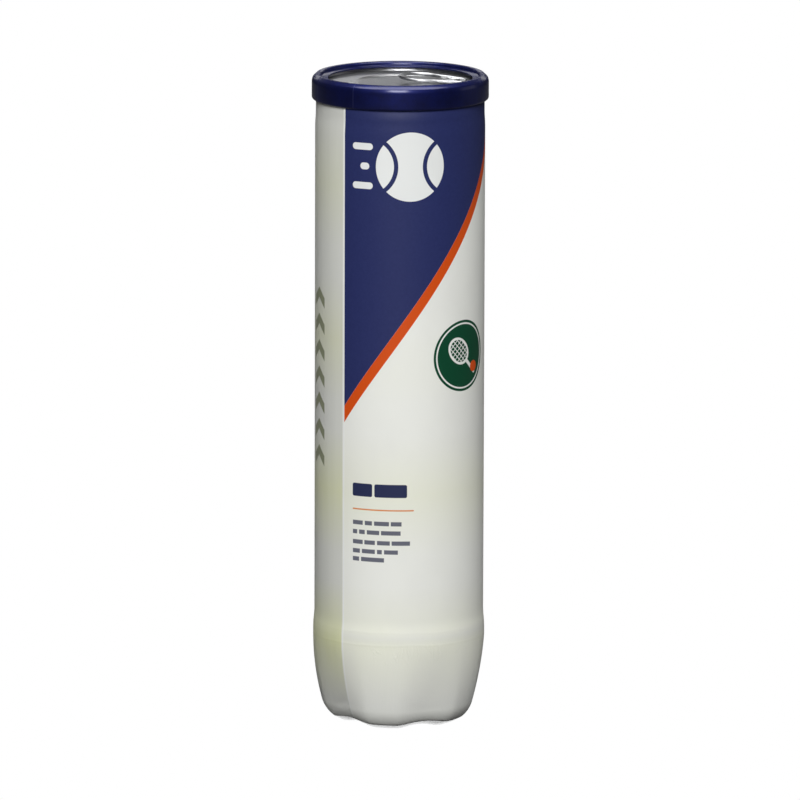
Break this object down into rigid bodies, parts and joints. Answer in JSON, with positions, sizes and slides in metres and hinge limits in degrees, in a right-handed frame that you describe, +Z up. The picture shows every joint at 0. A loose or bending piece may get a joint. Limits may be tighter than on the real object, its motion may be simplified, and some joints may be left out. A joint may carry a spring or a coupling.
{
  "type": "tennis ball can",
  "caption": "Tall clear cylindrical can on a footed base, with a printed sleeve, a seamed metal end with a ring-pull, a press-on ring overcap, and felt balls stacked inside.",
  "frame": {"origin": "on the can's axis, on the plane that the feet stand on", "axes": "+Z up the can's axis; -Y is the front of the label; the ring-pull's nose points 8 degrees to the front of +X"},
  "size_m": [0.0776, 0.0776, 0.288],
  "materials": {
    "clear_pet": "clear blow-moulded plastic",
    "label_film": "printed semi-gloss shrink film",
    "end_metal": "lacquered rolled sheet",
    "tab_metal": "bright pressed sheet",
    "compound": "matt",
    "cap_plastic": "moulded, slightly mottled gloss",
    "core_rubber": "matt",
    "seam_rubber": "matt",
    "felt": "napped felt"
  },
  "bodies": {
    "can": {"can_body": "clear_pet", "label_sleeve": "label_film", "end_ring": "end_metal", "seam_compound": "compound"},
    "overcap": {"overcap": "cap_plastic"},
    "tear_panel": {"peel_panel": "end_metal", "tab_tongue": "tab_metal"},
    "ring_pull": {"pull_tab": "tab_metal"},
    "ball_1": {"ball_1_core_upper": "core_rubber", "ball_1_core_lower": "core_rubber", "ball_1_seam": "seam_rubber", "ball_1_felt_a": "felt", "ball_1_felt_b": "felt"},
    "ball_2": {"ball_2_core_upper": "core_rubber", "ball_2_core_lower": "core_rubber", "ball_2_seam": "seam_rubber", "ball_2_felt_a": "felt", "ball_2_felt_b": "felt"},
    "ball_3": {"ball_3_core_upper": "core_rubber", "ball_3_core_lower": "core_rubber", "ball_3_seam": "seam_rubber", "ball_3_felt_a": "felt", "ball_3_felt_b": "felt"},
    "ball_4": {"ball_4_core_upper": "core_rubber", "ball_4_core_lower": "core_rubber", "ball_4_seam": "seam_rubber", "ball_4_felt_a": "felt", "ball_4_felt_b": "felt"}
  },
  "joints": [
    {"name": "overcap_lift", "type": "slide", "parent": "can", "child": "overcap", "axis": [0, 0, 1], "range_m": [0, 0.14]},
    {"name": "panel_peel", "type": "hinge", "parent": "can", "child": "tear_panel", "pos_m": [-0.03268, 0.00459, 0.2869], "axis": [-0.1392, -0.9903, 0], "range_deg": [0, 100]},
    {"name": "tab_lift", "type": "hinge", "parent": "tear_panel", "child": "ring_pull", "pos_m": [0.02793, -0.00392, 0.28535], "axis": [0.1392, 0.9903, 0], "range_deg": [0, 85]},
    {"name": "ball_1_shift", "type": "slide", "parent": "can", "child": "ball_1", "axis": [0, 0, 1], "range_m": [0, 0.0065]},
    {"name": "ball_2_shift", "type": "slide", "parent": "can", "child": "ball_2", "axis": [0, 0, 1], "range_m": [0, 0.0065]},
    {"name": "ball_3_shift", "type": "slide", "parent": "can", "child": "ball_3", "axis": [0, 0, 1], "range_m": [0, 0.0065]},
    {"name": "ball_4_shift", "type": "slide", "parent": "can", "child": "ball_4", "axis": [0, 0, 1], "range_m": [0, 0.0065]}
  ],
  "couplings": [
    {"joint": "panel_peel", "follows": "overcap_lift", "rad_per_m": 12.466},
    {"joint": "ball_2_shift", "follows": "ball_1_shift", "ratio": 1},
    {"joint": "ball_3_shift", "follows": "ball_1_shift", "ratio": 1},
    {"joint": "ball_4_shift", "follows": "ball_1_shift", "ratio": 1}
  ]
}
